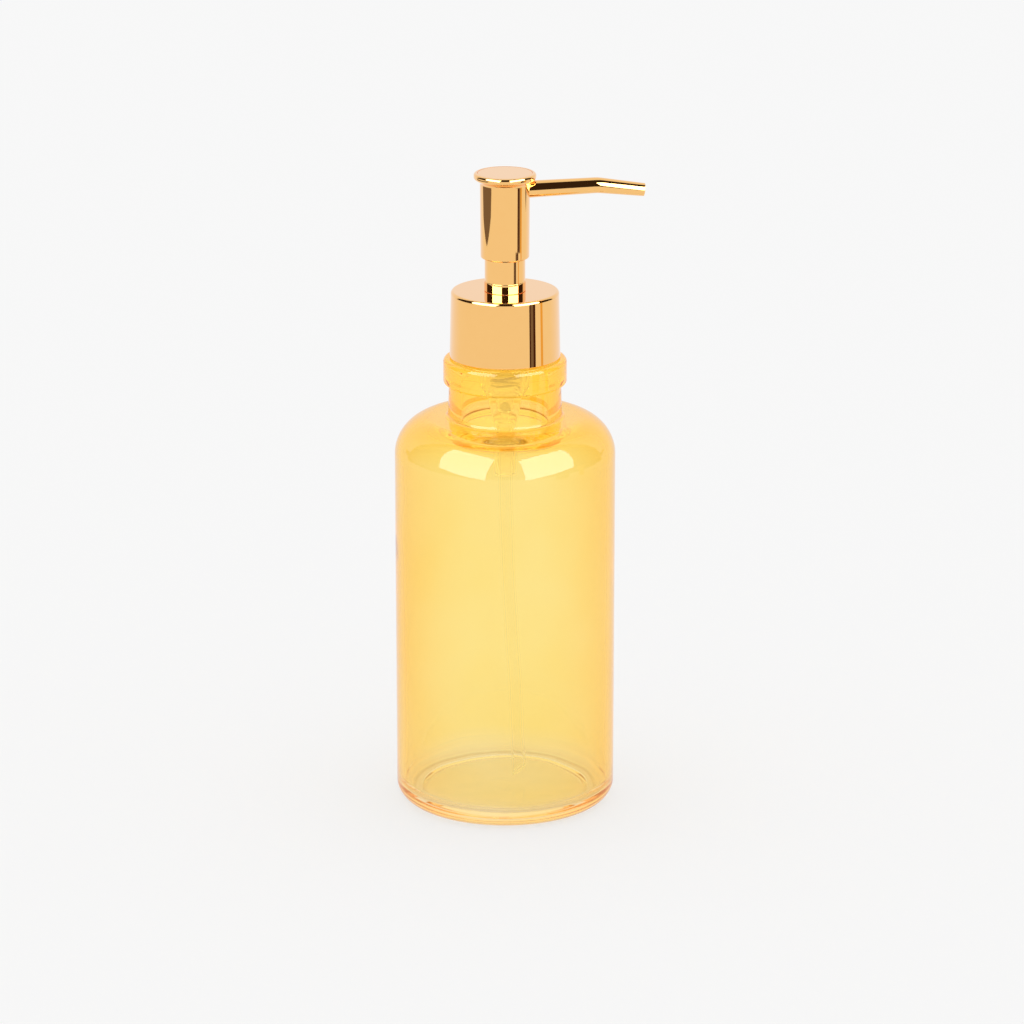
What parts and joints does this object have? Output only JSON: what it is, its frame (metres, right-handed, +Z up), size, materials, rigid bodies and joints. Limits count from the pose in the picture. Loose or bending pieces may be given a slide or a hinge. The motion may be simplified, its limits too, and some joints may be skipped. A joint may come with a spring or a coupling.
{
  "type": "soap pump dispenser",
  "caption": "Refillable amber glass soap bottle with a beaded neck and a gold plated pump: a flat disc to press and a slim, bent spout that swivels.",
  "frame": {"origin": "on the bottle's axis, at the plane of the ring that it stands on", "axes": "+Z up along the bottle's axis, +X the way the spout points at rest"},
  "size_m": [0.0847, 0.075, 0.2204],
  "materials": {
    "amber_glass": "clear amber soda-lime glass, fire polished",
    "gold_plating": "moulded plastic with bright gold plating, mirror polished",
    "clear_plastic": "natural translucent polypropylene",
    "white_plastic": "natural white polypropylene",
    "soft_seal": "soft elastomer, satin",
    "spring_steel": "drawn stainless spring wire",
    "bright_steel": "polished stainless ball"
  },
  "bodies": {
    "bottle": {"bottle": "amber_glass"},
    "gasket": {"neck_gasket": "soft_seal"},
    "pump": {"pump_housing": "clear_plastic", "chaplet": "white_plastic", "neck_sleeve": "gold_plating", "stem_wiper": "soft_seal", "dip_tube": "clear_plastic", "ball_cage": "clear_plastic", "return_spring": "spring_steel"},
    "inlet_ball": {"inlet_ball": "bright_steel"},
    "collar": {"closure": "white_plastic", "collar_shell": "gold_plating"},
    "piston": {"piston": "white_plastic"},
    "head": {"piston_rod": "white_plastic", "piston_stem": "white_plastic", "head_core": "white_plastic", "head_shell": "gold_plating", "spout_liner": "white_plastic", "top_disc": "gold_plating"}
  },
  "joints": [
    {"name": "lift_out", "type": "slide", "parent": "bottle", "child": "gasket", "axis": [0, 0, 1], "range_m": [0, 0.17]},
    {"name": "thread_rise", "type": "slide", "parent": "gasket", "child": "pump", "axis": [0, 0, 1], "range_m": [0, 0.0086]},
    {"name": "collar_turn", "type": "hinge", "parent": "pump", "child": "collar", "pos_m": [0, 0, 0.165], "axis": [0, 0, 1], "range_deg": [0, 720]},
    {"name": "pump_press", "type": "slide", "parent": "pump", "child": "piston", "axis": [0, 0, -1], "range_m": [0, 0.0078], "stiffness_N_per_m": 920, "springref_m": -0.0033, "deforming": ["return_spring"]},
    {"name": "head_swivel", "type": "hinge", "parent": "piston", "child": "head", "pos_m": [0, 0, 0.2], "axis": [0, 0, 1], "continuous": true},
    {"name": "ball_lift", "type": "slide", "parent": "pump", "child": "inlet_ball", "axis": [0, 0, 1], "range_m": [0, 0.0016]}
  ],
  "couplings": [
    {"joint": "thread_rise", "follows": "collar_turn", "m_per_rad": 0.00067322}
  ]
}
